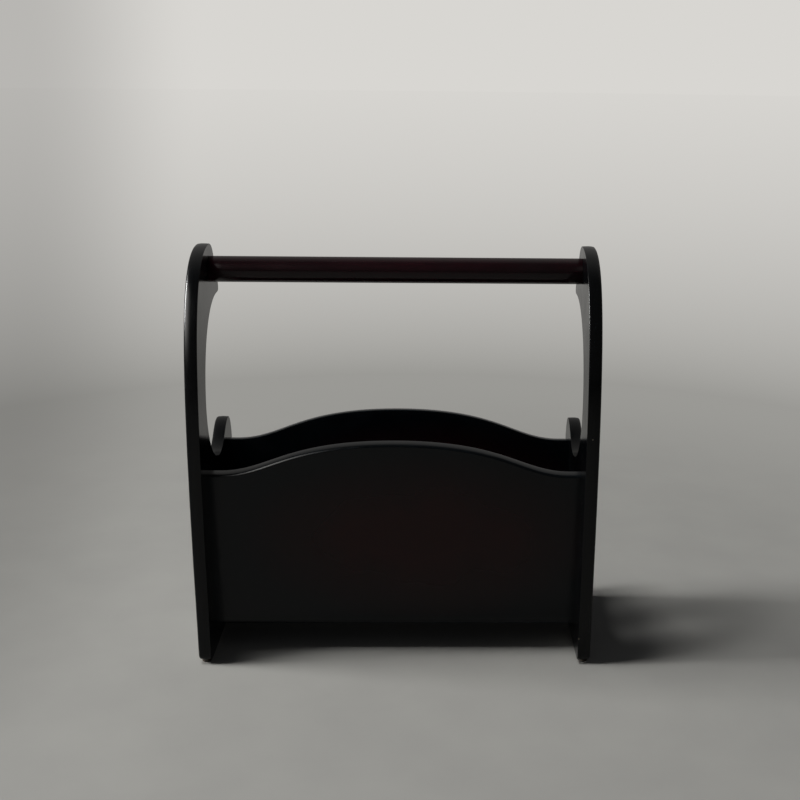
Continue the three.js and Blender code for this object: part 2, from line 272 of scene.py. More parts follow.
def object_from(name, shape):
    """A piece in the scene, made from a finished mesh."""
    mesh = bpy.data.meshes.new(name)
    bmesh.ops.recalc_face_normals(shape, faces=shape.faces)
    shape.to_mesh(mesh)
    shape.free()
    piece = bpy.data.objects.new(name, mesh)
    bpy.context.scene.collection.objects.link(piece)
    return piece


def swan_neck_panel(name, middle_x):
    """A board with the swan-neck outline, its edge built in rings from the inner face to the outer."""
    outline = without_repeats(front_edge() + head_and_lip() + throat() + shoulder_and_back())
    normals = inward_normals(outline)
    shape = bmesh.new()
    wear_layer = shape.verts.layers.float.new("edge_wear")
    rings = []
    for across, inset, wear in rounded_rings(end_thickness / 2, END_INNER_ROUND, END_OUTER_ROUND):
        ring = []
        for point, normal in zip(outline, normals):
            place = point + normal * inset
            vert = shape.verts.new((middle_x + across, place.x, place.y))
            vert[wear_layer] = wear
            ring.append(vert)
        rings.append(ring)
    for ring, following in zip(rings, rings[1:]):
        for index in range(len(ring)):
            shape.faces.new((ring[index - 1], ring[index], following[index], following[index - 1]))
    shape.faces.new(rings[0])
    shape.faces.new(rings[-1])
    return object_from(name, shape)


right_end = swan_neck_panel("right_end_board", end_middle_x)


# Lacquer
# The near-black coat of the panels and boards, sprayed over stained wood and not polished. To the eye it
# is nearly all mirror. It has worn brown in a few spots along the edges, and two small pale marks on the
# right panel: one on its arm, and a painted highlight on its front foot's inner arris.


def linear(hex_colour):
    """An sRGB hex colour as the linear RGBA that a shader takes."""
    channels = [int(hex_colour[place:place + 2], 16) / 255 for place in (1, 3, 5)]
    bent = [((c + 0.055) / 1.055) ** 2.4 if c > 0.04045 else c / 12.92 for c in channels]
    return (*bent, 1)


def add(tree, kind, links, **settings):
    """One shader node with its settings, and its inputs as values or as links from other nodes."""
    made = tree.nodes.new(kind)
    for name, value in settings.items():
        setattr(made, name, value)
    for socket, value in links.items():
        if isinstance(value, bpy.types.NodeSocket):
            tree.links.new(value, made.inputs[socket])
        else:
            made.inputs[socket].default_value = value
    return made


# A colour mix node has several sockets of one name, so its sockets are known by number.
MIX_FACTOR, MIX_FIRST, MIX_SECOND, MIX_RESULT = 0, 6, 7, 2


def blend(tree, share, first, second):
    """The first colour going over into the second as the share goes from 0 to 1."""
    return add(tree, "ShaderNodeMix", {
        MIX_FACTOR: share, MIX_FIRST: first, MIX_SECOND: second,
    }, data_type="RGBA").outputs[MIX_RESULT]


def change(tree, value, start, end, low=0, high=1, smooth=False):
    """Goes from low at start to high at end, and stays level beyond them."""
    return add(tree, "ShaderNodeMapRange", {
        "Value": value, "From Min": start, "From Max": end, "To Min": low, "To Max": high,
    }, interpolation_type="SMOOTHSTEP" if smooth else "LINEAR").outputs[0]


def reckon(tree, operation, first, second, clamp=False):
    """One step of arithmetic."""
    made = add(tree, "ShaderNodeMath", {0: first, 1: second}, operation=operation, use_clamp=clamp)
    return made.outputs[0]


def noise(tree, place, size, detail, **sockets):
    """Soft noise, its blotches about as large as the given size."""
    return add(tree, "ShaderNodeTexNoise", {
        "Vector": place, "Scale": 1 / size, "Detail": detail, **sockets,
    }).outputs["Fac"]


def bumped(tree, height, distance, **sockets):
    """The surface's normal where a height pattern stands off by up to the distance."""
    made = add(tree, "ShaderNodeBump", {"Height": height, "Distance": distance, **sockets})
    return made.outputs["Normal"]


def new_material(name):
    """A material with no shader yet, its nodes, and coordinates in metres."""
    made = bpy.data.materials.new(name)
    made.use_nodes = True
    tree = made.node_tree
    tree.nodes.clear()
    return made, tree, add(tree, "ShaderNodeTexCoord", {}).outputs["Object"]


def surface(tree, sockets):
    """The material's shader, with its sockets as values or links."""
    shader = add(tree, "ShaderNodeBsdfPrincipled", sockets)
    add(tree, "ShaderNodeOutputMaterial", {"Surface": shader.outputs["BSDF"]})


BROWN_PATCH_NOISE = (0.3, 0.7)
BROWN_PATCH_GAIN = (1.1, 1.9)


def brown_patch_share(tree, place, cloud, middle, reach):
    """How much of the tint there is: most in the patch's middle, uneven towards its rim."""
    from_middle = add(tree, "ShaderNodeMapping", {
        "Vector": place,
        "Location": (-middle[0] / reach[0], 0, -middle[1] / reach[1]),
        "Scale": (1 / reach[0], 0, 1 / reach[1]),
    }).outputs["Vector"]
    patch = add(tree, "ShaderNodeTexGradient", {"Vector": from_middle}, gradient_type="SPHERICAL")
    uneven = change(tree, cloud, *BROWN_PATCH_NOISE, *BROWN_PATCH_GAIN)
    return reckon(tree, "MULTIPLY", patch.outputs["Fac"], uneven, clamp=True)


# A lacquer film is near 1.5 when it is new and polished. This one is worn dull, and matches lower.
LACQUER_IOR = 1.28
CLOUD_SIZE = 70 * MM
WORN_SPOT_SIZE = 5 * MM
WORN_SPOT_NOISE = (0.7, 0.76)
WORN_COLOUR = "#3d3029"
PALE_MARK_RADIUS = 0.9 * MM
PALE_MARK_CORE_SHARE = 0.6
PALE_MARK_COLOUR = "#8f877a"
HAZE_SIZE = 28 * MM
HAZE_NOISE = (0.3, 0.75)
PEEL_SIZE = 2.6 * MM
PEEL_HEIGHT = 0.012 * MM
PEEL_STRENGTH = 0.6
# Real nibs are a tenth of a millimetre across. These are drawn coarser, so that they show.
NIB_SPACING = 14 * MM
NIB_REACH_SHARES = (0.02, 0.045)
NIB_HEIGHT = 0.06 * MM
NIB_STRENGTH = 0.5


def sprayed_lacquer(name, ground, tint, roughness, spread, brown_patch=None, pale_mark_places=()):
    """Near-black lacquer, sprayed over stained wood and not polished.

    The coat is a clear film over a very dark ground, so it shows little colour face on and mirrors its
    surroundings at a glance. Spraying leaves a fine orange peel, dust leaves nibs, and hands leave haze.
    """
    made, tree, place = new_material(name)
    cloud = noise(tree, place, CLOUD_SIZE, detail=2)
    tint_share = brown_patch_share(tree, place, cloud, *brown_patch) if brown_patch else cloud
    coat = blend(tree, tint_share, linear(ground), linear(tint))
    spots = change(tree, noise(tree, place, WORN_SPOT_SIZE, detail=4), *WORN_SPOT_NOISE)
    edge_wear = add(tree, "ShaderNodeAttribute", {}, attribute_name="edge_wear").outputs["Fac"]
    coat = blend(tree, reckon(tree, "MULTIPLY", spots, edge_wear), coat, linear(WORN_COLOUR))
    # Pale marks over the coat: the one on the foot is a painted highlight.
    for pale_mark_place in pale_mark_places:
        off = add(tree, "ShaderNodeVectorMath", {0: place, 1: pale_mark_place}, operation="DISTANCE")
        marked = change(tree, off.outputs["Value"], PALE_MARK_RADIUS, PALE_MARK_RADIUS * PALE_MARK_CORE_SHARE)
        coat = blend(tree, marked, coat, linear(PALE_MARK_COLOUR))
    haze = noise(tree, place, HAZE_SIZE, detail=5)
    peel = noise(tree, place, PEEL_SIZE, detail=1)
    peeled = bumped(tree, peel, PEEL_HEIGHT, Strength=PEEL_STRENGTH)
    off_nib = add(tree, "ShaderNodeTexVoronoi", {"Vector": place, "Scale": 1 / NIB_SPACING})
    nib = change(tree, off_nib.outputs["Distance"], *NIB_REACH_SHARES, 1, 0)
    surface(tree, {
        "Base Color": coat,
        "Roughness": change(tree, haze, *HAZE_NOISE, roughness - spread, roughness + spread),
        "IOR": LACQUER_IOR,
        "Normal": bumped(tree, nib, NIB_HEIGHT, Strength=NIB_STRENGTH, Normal=peeled),
    })
    return made


# Places from the origin of two pale marks: on the right panel's arm, and on its front foot's inner arris,
# where the mark is a painted highlight.
PALE_MARK_ON_ARM = (192.7 * MM, -90.5 * MM, 244 * MM)
PAINTED_GLINT_ON_FOOT = (187.4 * MM, -85.1 * MM, 29.5 * MM)

end_lacquer = sprayed_lacquer(
    "black_lacquer_on_end_wood", "#030507", "#050506", roughness=0.18, spread=0.05,
    pale_mark_places=(PALE_MARK_ON_ARM, PAINTED_GLINT_ON_FOOT),
)


# Bottom board
# A 9 mm board that the magazines stand on, let into grooves in the boards and end panels all round.
# It is taken to have the same lacquer, duller because a spray gun hardly reaches into the basket.

BOTTOM_EDGE_ROUND = 0.6 * MM
BOTTOM_ROUND_STEPS = 3
GROOVE_DEPTH = 4 * MM
FIT_GAP = 0.3 * MM

bottom_low, bottom_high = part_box("bottom_panel")


def box_between(name, low, high, edge_round=0.0):
    """A box from its low corner to its high one, its edges eased if that is asked for."""
    shape = bmesh.new()
    bmesh.ops.create_cube(shape, size=1)
    bmesh.ops.scale(shape, vec=high - low, verts=shape.verts)
    bmesh.ops.translate(shape, vec=(low + high) / 2, verts=shape.verts)
    if edge_round:
        bmesh.ops.bevel(
            shape, geom=shape.edges[:], offset=edge_round, segments=BOTTOM_ROUND_STEPS, profile=0.5,
            affect="EDGES", clamp_overlap=True,
        )
    return object_from(name, shape)


def groove_cutter():
    """The bottom board with its fitting gap all round: what it takes out of its neighbours."""
    spare = Vector((FIT_GAP, FIT_GAP, FIT_GAP))
    return box_between("groove", bottom_low - spare, bottom_high + spare)


bottom_board = box_between("bottom_board", bottom_low, bottom_high, BOTTOM_EDGE_ROUND)
bottom_lacquer = sprayed_lacquer(
    "dull_black_lacquer_on_bottom", "#040405", "#070607", roughness=0.34, spread=0.06,
)


# Front and back boards
# Two 12 mm boards with a camel-back top, rounded over along the outside of the top and the bottom. They
# lean outwards and butt against the end panels, on dowels. Their coat is browner in a patch in the
# middle and a cool bluish black towards its rim; the cool tone is painted reflection of cool light.

BOARD_OUTER_ROUND = 3 * MM
BOARD_INNER_ROUND = 1 * MM
BOARD_THICKNESS = 12 * MM
BOARD_END_HEIGHT = 170.4 * MM
CROWN_RISE = 33.1 * MM
CROWN_SHELF = 11.3 * MM
CROWN_LEAVE_SHARE = 0.28
CROWN_ARRIVE_SHARE = 0.634
BOARD_BASE = 28.7 * MM
BOARD_BASE_INSET = 48.7 * MM
BOARD_TOP_INSET = 30.1 * MM
BUTT_GAP = 0.05 * MM
SHELF_STEPS = 4

board_height = BOARD_END_HEIGHT + CROWN_RISE
board_base_y = belly - BOARD_BASE_INSET
board_lean = math.asin((BOARD_BASE_INSET - BOARD_TOP_INSET) / board_height)


def camel_back_edge():
    """The top edge from left to right, in the board's own plane."""
    half = end_inner_x - BUTT_GAP
    shelf = end_inner_x - CROWN_SHELF
    left_shelf = [
        Vector((mix(-half, -shelf, step / SHELF_STEPS), BOARD_END_HEIGHT)) for step in range(SHELF_STEPS)
    ]
    left_rise = curve(
        (-shelf, BOARD_END_HEIGHT),
        (-shelf * (1 - CROWN_LEAVE_SHARE), BOARD_END_HEIGHT),
        (-shelf * CROWN_ARRIVE_SHARE, board_height),
        (0, board_height),
        steps=2 * CURVE_STEPS,
    )
    left = left_shelf + left_rise
    right = [Vector((-point.x, point.y)) for point in reversed(left[:-1])]
    return left + right


def camel_back_board(name, facing):
    """A board in sections from end to end, each round the top edge and back round the bottom edge."""
    top = camel_back_edge()
    up = Vector((0, facing * math.sin(board_lean), math.cos(board_lean)))
    out = Vector((0, facing * math.cos(board_lean), -math.sin(board_lean)))
    foot_of_board = Vector((0, facing * board_base_y, BOARD_BASE))
    rings = rounded_rings(BOARD_THICKNESS / 2, BOARD_INNER_ROUND, BOARD_OUTER_ROUND)
    shape = bmesh.new()
    wear_layer = shape.verts.layers.float.new("edge_wear")
    sections = []
    for index, point in enumerate(top):
        before = top[max(index - 1, 0)]
        after = top[min(index + 1, len(top) - 1)]
        along = (after - before).normalized()
        inward = Vector((along.y, -along.x))
        section = []
        for across, inset, wear in rings:
            place = point + inward * inset
            section.append((place.x, place.y, across, wear))
        # Below, the section stays straight under the inner end of its top edge.
        side = (point + inward * BOARD_OUTER_ROUND).x
        for across, inset, wear in reversed(rings):
            section.append((side, inset, across, wear))
        verts = []
        for side, height, across, wear in section:
            vert = shape.verts.new(foot_of_board + Vector((side, 0, 0)) + up * height + out * across)
            vert[wear_layer] = wear
            verts.append(vert)
        sections.append(verts)
    for section, following in zip(sections, sections[1:]):
        for index in range(len(section)):
            shape.faces.new((section[index - 1], section[index], following[index], following[index - 1]))
    shape.faces.new(sections[0])
    shape.faces.new(sections[-1])
    return object_from(name, shape)


front_board = camel_back_board("front_board", -1)
back_board = camel_back_board("back_board", 1)

BROWN_PATCH_MIDDLE = (27 * MM, 127 * MM)
BROWN_PATCH_REACH = (190 * MM, 95 * MM)

# Painted reflection: the ground's cool bluish tone stands for cool light mirrored in the coat.
board_lacquer = sprayed_lacquer(
    "brown_black_lacquer_on_boards", "#04080c", "#230707", roughness=0.2, spread=0.05,
    brown_patch=(BROWN_PATCH_MIDDLE, BROWN_PATCH_REACH),
)


# Dowels
# Twelve beech pegs, 6 by 25 mm, glued 17 mm deep into the boards' ends and 8 mm deep into the end
# panels. Nothing of them shows.

DOWEL_HOLE_DIAMETER = 6.6 * MM
HOLE_SIDES = 32
BORE_SPARE = 0.5 * MM

dowel_names = [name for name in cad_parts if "dowel" in name]


def round_bar(name, start, end, diameter):
    """A plain round cutter from one point to another."""
    shape = bmesh.new()
    length = (end - start).length
    turn = (end - start).to_track_quat("Z", "Y").to_matrix().to_4x4()
    bmesh.ops.create_cone(
        shape, cap_ends=True, segments=HOLE_SIDES, radius1=diameter / 2, radius2=diameter / 2, depth=length,
        matrix=Matrix.Translation((start + end) / 2) @ turn,
    )
    return object_from(name, shape)


def dowel_cutter(name):
    """The hole for one dowel, a little deeper than the dowel at both ends."""
    low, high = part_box(name)
    middle = (low + high) / 2
    reach = Vector(((high.x - low.x) / 2 + BORE_SPARE, 0, 0))
    return round_bar("bore", middle - reach, middle + reach, DOWEL_HOLE_DIAMETER)


def stretched(tree, place, lengths):
    """Coordinates in which a pattern of size 1 is as long as these lengths."""
    scale = tuple(1 / length for length in lengths)
    return add(tree, "ShaderNodeMapping", {"Vector": place, "Scale": scale}).outputs["Vector"]


BEECH_FLECK = (9 * MM, 0.7 * MM, 0.7 * MM)
BEECH_FLECK_HEIGHT = 0.05 * MM
BEECH_ROUGHNESS = 0.7


def beech():
    """Beech: pale, even, with short darker flecks of ray along the grain."""
    made, tree, place = new_material("bare_beech")
    fleck = noise(tree, stretched(tree, place, BEECH_FLECK), 1, detail=3)
    surface(tree, {
        "Base Color": blend(tree, fleck, linear("#d2ad7c"), linear("#b58a58")),
        "Roughness": BEECH_ROUGHNESS,
        "Normal": bumped(tree, fleck, BEECH_FLECK_HEIGHT),
    })
    return made


beech_wood = beech()
for name in dowel_names:
    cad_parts[name].data.materials.clear()
    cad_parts[name].data.materials.append(beech_wood)


# Handle rail
# A 26 mm round rail turned from a reddish hardwood, with a tenon at each end glued into the heads.
# Its stain is thinner than the boards' coat, so the wood's red comes through where light falls on it.

RAIL_TENON_DIAMETER = 16 * MM
RAIL_TENON_CHAMFER = 1 * MM
RAIL_SHOULDER_EASE = 0.4 * MM
RAIL_SIDES = 128
RAIL_STEPS = 24

rail_low, rail_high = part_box("handle_rail")
rail_radius = (rail_high.z - rail_low.z) / 2
rail_centre = (rail_low + rail_high) / 2
rail_tip = rail_high.x


def turned(name, profile, centre, along, sides):
    """A piece turned on a lathe: radius and distance pairs, spun round the line along, through centre."""
    shape = bmesh.new()
    turn = Vector(along).to_track_quat("Z", "Y").to_matrix().to_4x4()
    seat = Matrix.Translation(centre) @ turn
    rings = []
    for radius, distance in profile:
        if radius == 0:
            rings.append([shape.verts.new(seat @ Vector((0, 0, distance)))])
            continue
        ring = []
        for side in range(sides):
            angle = 2 * math.pi * side / sides
            place = Vector((radius * math.cos(angle), radius * math.sin(angle), distance))
            ring.append(shape.verts.new(seat @ place))
        rings.append(ring)
    for ring, following in zip(rings, rings[1:]):
        for index in range(sides):
            near = [ring[index - 1], ring[index]] if len(ring) > 1 else ring
            far = [following[index], following[index - 1]] if len(following) > 1 else following
            shape.faces.new(near + far)
    return object_from(name, shape)


def rail_profile():
    """Tenon, shoulder, rail, shoulder and tenon, as radius and distance pairs from left to right."""
    tenon = RAIL_TENON_DIAMETER / 2
    shoulder = end_inner_x - BUTT_GAP
    ease = RAIL_SHOULDER_EASE
    half = [
        (0, -rail_tip),
        (tenon - RAIL_TENON_CHAMFER, -rail_tip),
        (tenon, RAIL_TENON_CHAMFER - rail_tip),
        (tenon, -shoulder),
        (rail_radius - ease, -shoulder),
        (rail_radius - ease / 4, ease / 4 - shoulder),
        (rail_radius, ease - shoulder),
    ]
    body = [(rail_radius, (ease - shoulder) * (1 - 2 * step / RAIL_STEPS)) for step in range(1, RAIL_STEPS)]
    return half + body + [(radius, -distance) for radius, distance in reversed(half)]


rail = turned("rail", rail_profile(), rail_centre, (1, 0, 0), RAIL_SIDES)

RAIL_LACQUER_IOR = 1.31
# Real pores are a few tenths of a millimetre wide. The grain is drawn coarser, so that it shows.
RAIL_GRAIN = (70 * MM, 1.6 * MM, 1.6 * MM)
RAIL_GRAIN_DISTORTION = 0.3
RAIL_GRAIN_HEIGHT = 0.03 * MM
RAIL_GRAIN_STRENGTH = 0.5
RAIL_CLOUD_SIZE = 60 * MM
RAIL_CLOUD_NOISE = (0.35, 0.7)
RAIL_CLOUD_DEPTH = 0.6
RAIL_HAZE_SIZE = 22 * MM
RAIL_ROUGHNESS = (0.16, 0.24)


def stained_rail():
    """Reddish brown stain under clear lacquer, with fine grain along the rail and darker clouds."""
    made, tree, place = new_material("reddish_stain_on_turned_rail")
    grain = noise(tree, stretched(tree, place, RAIL_GRAIN), 1, detail=4, Distortion=RAIL_GRAIN_DISTORTION)
    stain = blend(tree, grain, linear("#20050b"), linear("#130409"))
    cloud = noise(tree, place, RAIL_CLOUD_SIZE, detail=2)
    cloudy = change(tree, cloud, *RAIL_CLOUD_NOISE, 0, RAIL_CLOUD_DEPTH)
    haze = noise(tree, place, RAIL_HAZE_SIZE, detail=5)
    surface(tree, {
        "Base Color": blend(tree, cloudy, stain, linear("#080304")),
        "Roughness": change(tree, haze, *HAZE_NOISE, *RAIL_ROUGHNESS),
        "IOR": RAIL_LACQUER_IOR,
        "Normal": bumped(tree, grain, RAIL_GRAIN_HEIGHT, Strength=RAIL_GRAIN_STRENGTH),
    })
    return made


SHARP_ANGLE = math.radians(32)


def finished_mesh(piece):
    """Smooth faces, with the edges that a tool leaves sharp kept sharp."""
    piece.data.shade_smooth()
    piece.data.set_sharp_from_angle(angle=SHARP_ANGLE)
    return piece


def dress(piece, material, slot, *nodes):
    """Gives a finished piece its material, fixes it under the root and hides the parts that it stands for;
    the slot is not used.
    """
    piece.data.materials.append(material)
    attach(piece, "root")
    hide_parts(*nodes)


dress(finished_mesh(rail), stained_rail(), "lacquer_rail", "handle_rail")


# Glides and their nails
# A dark plastic pad under each end of both panels, nailed on: the nail's head sits in the pad's recess.

GLIDE_SIDES = 64
GLIDE_ROUND = 0.9 * MM
GLIDE_RECESS_DIAMETER = 5.2 * MM
GLIDE_RECESS_DEPTH = 1.4 * MM
NAIL_HEAD_DIAMETER = 4.4 * MM
NAIL_HEAD_THICKNESS = 0.7 * MM
NAIL_HEAD_FLAT_SHARE = 0.7
NAIL_SHANK_DIAMETER = 1.6 * MM
NAIL_POINT_LENGTH = 2.4 * MM


def glide_profile(radius, top):
    """The pad's wall and sole round its recess and its nail hole, closed into a ring."""
    recess = GLIDE_RECESS_DIAMETER / 2
    bore = NAIL_SHANK_DIAMETER / 2 + FIT_GAP
    edge = [
        (radius - GLIDE_ROUND * (1 - math.sin(turn)), GLIDE_ROUND * (1 - math.cos(turn)))
        for turn in (math.pi / 2 * step / ROUND_STEPS for step in range(ROUND_STEPS + 1))
    ]
    return [
        (bore, GLIDE_RECESS_DEPTH), (recess, GLIDE_RECESS_DEPTH), (recess, 0),
        *edge,
        (radius, top), (bore, top), (bore, GLIDE_RECESS_DEPTH),
    ]


def nail_profile(low, high):
    """A slightly domed head, a shank and a point."""
    head, shank = NAIL_HEAD_DIAMETER / 2, NAIL_SHANK_DIAMETER / 2
    crown = NAIL_HEAD_THICKNESS / 4
    return [
        (0, low),
        (head * NAIL_HEAD_FLAT_SHARE, low + crown / 4),
        (head, low + crown),
        (head, low + NAIL_HEAD_THICKNESS),
        (shank, low + NAIL_HEAD_THICKNESS),
        (shank, high - NAIL_POINT_LENGTH),
        (0, high),
    ]


NYLON_BLOTCH_SIZE = 3 * MM
NYLON_BLOTCH_HEIGHT = 0.04 * MM
NYLON_ROUGHNESS = 0.5


def moulded_nylon():
    """Dark brown nylon, moulded: matt and faintly blotched."""
    made, tree, place = new_material("dark_brown_moulded_nylon")
    blotch = noise(tree, place, NYLON_BLOTCH_SIZE, detail=3)
    surface(tree, {
        "Base Color": blend(tree, blotch, linear("#332b22"), linear("#251f19")),
        "Roughness": NYLON_ROUGHNESS,
        "Normal": bumped(tree, blotch, NYLON_BLOTCH_HEIGHT),
    })
    return made


HAMMER_MARK_SIZE = 0.8 * MM
HAMMER_MARK_HEIGHT = 0.05 * MM
STEEL_ROUGHNESS = (0.25, 0.45)


def drawn_steel():
    """Bright drawn wire, with a head struck by a hammer: it mirrors, with small dull marks."""
    made, tree, place = new_material("bright_drawn_steel")
    mark = noise(tree, place, HAMMER_MARK_SIZE, detail=2)
    surface(tree, {
        "Base Color": linear("#a7a8aa"),
        "Metallic": 1,
        "Roughness": change(tree, mark, 0, 1, *STEEL_ROUGHNESS),
        "Normal": bumped(tree, mark, HAMMER_MARK_HEIGHT),
    })
    return made


nylon = moulded_nylon()
steel = drawn_steel()
nail_bores = []
for corner_name in ("front_left", "back_left", "front_right", "back_right"):
    low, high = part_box(f"{corner_name}_glide")
    nail_low, nail_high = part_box(f"{corner_name}_glide_nail")
    axis_x, axis_y = (low.x + high.x) / 2, (low.y + high.y) / 2
    centre = Vector((axis_x, axis_y, 0))
    pad_shape = glide_profile((high.x - low.x) / 2, high.z)
    pad = turned(f"{corner_name}_pad", pad_shape, centre, (0, 0, 1), GLIDE_SIDES)
    dress(finished_mesh(pad), nylon, "glide_plastic", f"{corner_name}_glide")
    nail_shape = nail_profile(nail_low.z, nail_high.z)
    nail = turned(f"{corner_name}_nail", nail_shape, centre, (0, 0, 1), GLIDE_SIDES)
    dress(finished_mesh(nail), steel, "nail_steel", f"{corner_name}_glide_nail")
    if axis_x > 0:
        bore_end = Vector((axis_x, axis_y, nail_high.z + BORE_SPARE))
        nail_bores.append(round_bar("bore", centre, bore_end, NAIL_SHANK_DIAMETER + 2 * FIT_GAP))


# Boring and putting together
# The end panels are bored for the dowels, the rail and the nails, the front and back boards for the
# dowels, and all four are grooved for the bottom board. The left panel is the right one's mirror image.

SOCKET_DIAMETER = RAIL_TENON_DIAMETER + 2 * FIT_GAP


def rail_socket():
    """The blind socket for the rail's tenon, with its fitting gap."""
    mouth = Vector((end_inner_x - GROOVE_DEPTH, rail_centre.y, rail_centre.z))
    end = Vector((rail_tip + BORE_SPARE, rail_centre.y, rail_centre.z))
    return round_bar("socket", mouth, end, SOCKET_DIAMETER)


def cut(piece, cutters):
    """Cuts grooves, sockets and holes in a piece, and clears the cutters away."""
    for cutter in cutters:
        modifier = piece.modifiers.new("cut", "BOOLEAN")
        modifier.operation = "DIFFERENCE"
        modifier.solver = "EXACT"
        modifier.object = cutter
    bpy.context.view_layer.update()
    evaluated = piece.evaluated_get(bpy.context.evaluated_depsgraph_get())
    cut_mesh = bpy.data.meshes.new_from_object(evaluated)
    piece.modifiers.clear()
    piece.data = cut_mesh
    for cutter in cutters:
        bpy.data.objects.remove(cutter)


def mirror_image(piece, name):
    """The same piece with left and right swapped."""
    mesh = piece.data.copy()
    mesh.name = name
    mesh.transform(Matrix.Scale(-1, 4, (1, 0, 0)))
    mesh.flip_normals()
    twin = bpy.data.objects.new(name, mesh)
    bpy.context.scene.collection.objects.link(twin)
    return twin


end_bores = [dowel_cutter(name) for name in dowel_names if "_right_" in name]
cut(right_end, [groove_cutter(), rail_socket(), *end_bores, *nail_bores])
left_end = mirror_image(right_end, "left_end_board")
dress(finished_mesh(left_end), end_lacquer, "lacquer_ends", "left_end_panel")
dress(finished_mesh(right_end), end_lacquer, "lacquer_ends", "right_end_panel")

for piece, word in ((front_board, "front"), (back_board, "back")):
    bores = [dowel_cutter(name) for name in dowel_names if name.startswith(word)]
    cut(piece, [groove_cutter(), *bores])
    dress(finished_mesh(piece), board_lacquer, "lacquer_boards", f"{word}_panel")

dress(finished_mesh(bottom_board), bottom_lacquer, "lacquer_bottom", "bottom_panel")


# Floor
# A plain, matt, pale screed. Away from the basket it goes over into an even, pale surround that only
# direct looks see, and gloss behind the basket. At the far left the colour of floor and surround is
# painted darker: painted shade.

FLOOR_REACH = 30
FLOOR_SIDES = 64
FLOOR_ROUGHNESS = 0.9
TROWEL_MARK_SIZE = 90 * MM
FADE_ENDS = (0.35, 1.1)
NEAR_SURROUND = "#9a9995"
FAR_SURROUND = "#d8d6d2"
PALING_DISTANCE = 1.125
LEFT_SHADE = 0.7
LEFT_SHADE_ENDS = (-0.31, -0.18)
SHADE_SPREAD_DISTANCE = 1.2
MIRRORED_FLOOR_ENDS = (-0.3, 0.5)
GLOSS_OF_FLOOR = 0.75

floor_shape = bmesh.new()
bmesh.ops.create_circle(floor_shape, cap_ends=True, segments=FLOOR_SIDES, radius=FLOOR_REACH)
floor = object_from("floor", floor_shape)
floor_paint, tree, place = new_material("pale_screed")
towards = add(tree, "ShaderNodeSeparateXYZ", {0: place}).outputs
distance = add(tree, "ShaderNodeVectorMath", {0: place}, operation="LENGTH").outputs["Value"]
aside = reckon(tree, "DIVIDE", towards["X"], reckon(tree, "ADD", distance, SHADE_SPREAD_DISTANCE))
# Painted shade: towards the far left the floor's colour and the surround are darkened.
left_shade = change(tree, aside, *LEFT_SHADE_ENDS, LEFT_SHADE, 1, smooth=True)
trowel_marks = noise(tree, place, TROWEL_MARK_SIZE, detail=6)
screed = blend(tree, trowel_marks, linear("#9b9a96"), linear("#a7a6a1"))
bare_floor = add(tree, "ShaderNodeBsdfPrincipled", {
    "Base Color": blend(tree, left_shade, linear("#000000"), screed),
    "Roughness": FLOOR_ROUGHNESS,
    "Specular IOR Level": 0,
})
paling = reckon(tree, "SUBTRACT", 1, reckon(tree, "DIVIDE", PALING_DISTANCE, distance), clamp=True)
rays = add(tree, "ShaderNodeLightPath", {}).outputs
gloss_tone = change(tree, rays["Is Glossy Ray"], 0, 1, 1, GLOSS_OF_FLOOR)
surround_glow = add(tree, "ShaderNodeEmission", {
    "Color": blend(tree, paling, linear(NEAR_SURROUND), linear(FAR_SURROUND)),
    "Strength": reckon(tree, "MULTIPLY", left_shade, gloss_tone),
})
seen = reckon(tree, "MAXIMUM", rays["Is Camera Ray"], rays["Is Transmission Ray"])
behind = change(tree, towards["Y"], *MIRRORED_FLOOR_ENDS, smooth=True)
mirrored = reckon(tree, "MULTIPLY", rays["Is Glossy Ray"], behind)
far = change(tree, distance, *FADE_ENDS, smooth=True)
floor_look = add(tree, "ShaderNodeMixShader", {
    0: reckon(tree, "MULTIPLY", far, reckon(tree, "MAXIMUM", seen, mirrored)),
    1: bare_floor.outputs["BSDF"],
    2: surround_glow.outputs["Emission"],
})
add(tree, "ShaderNodeOutputMaterial", {"Surface": floor_look.outputs["Shader"]})
floor.data.materials.append(floor_paint)


# Room
# Seen directly it is the pale surround. Gloss mirrors a dim room: a wall behind the basket that is
# lighter high up, and the glow of a bright curtain at the front left. The rest is faint light for shade.

SHADE_LIGHT = 0.05
GLOSS_OF_ROOM = 0.17
GLOSS_OF_WALL = 0.22
GLOSS_OF_HIGH_WALL = 0.5
WALL_RISE_ENDS = (0.3, 0.85)
WALL_SIDE_ENDS = (-0.35, 0.35)
GLOSS_OF_CURTAIN = 22
CURTAIN_FOOT_ENDS = (0.03, 0.45)
CURTAIN_TOP_ENDS = (0.65, 0.85)
CURTAIN_RIGHT_ENDS = (-0.75, -0.22)
CURTAIN_BACK_ENDS = (-0.1, 0.15)

world = bpy.data.worlds.new("studio")
world.use_nodes = True
tree = world.node_tree
tree.nodes.clear()
heading = add(tree, "ShaderNodeTexCoord", {}).outputs["Generated"]
towards = add(tree, "ShaderNodeSeparateXYZ", {0: heading}).outputs
wall_tone = change(tree, towards["Z"], *WALL_RISE_ENDS, GLOSS_OF_WALL, GLOSS_OF_HIGH_WALL, smooth=True)
wall = reckon(tree, "MULTIPLY", wall_tone, change(tree, towards["Y"], *WALL_SIDE_ENDS, smooth=True))
curtain_foot = change(tree, towards["Z"], *CURTAIN_FOOT_ENDS, smooth=True)
curtain_top = change(tree, towards["Z"], *CURTAIN_TOP_ENDS, 1, 0, smooth=True)
curtain_right = change(tree, towards["X"], *CURTAIN_RIGHT_ENDS, 1, 0, smooth=True)
curtain_back = change(tree, towards["Y"], *CURTAIN_BACK_ENDS, 1, 0, smooth=True)
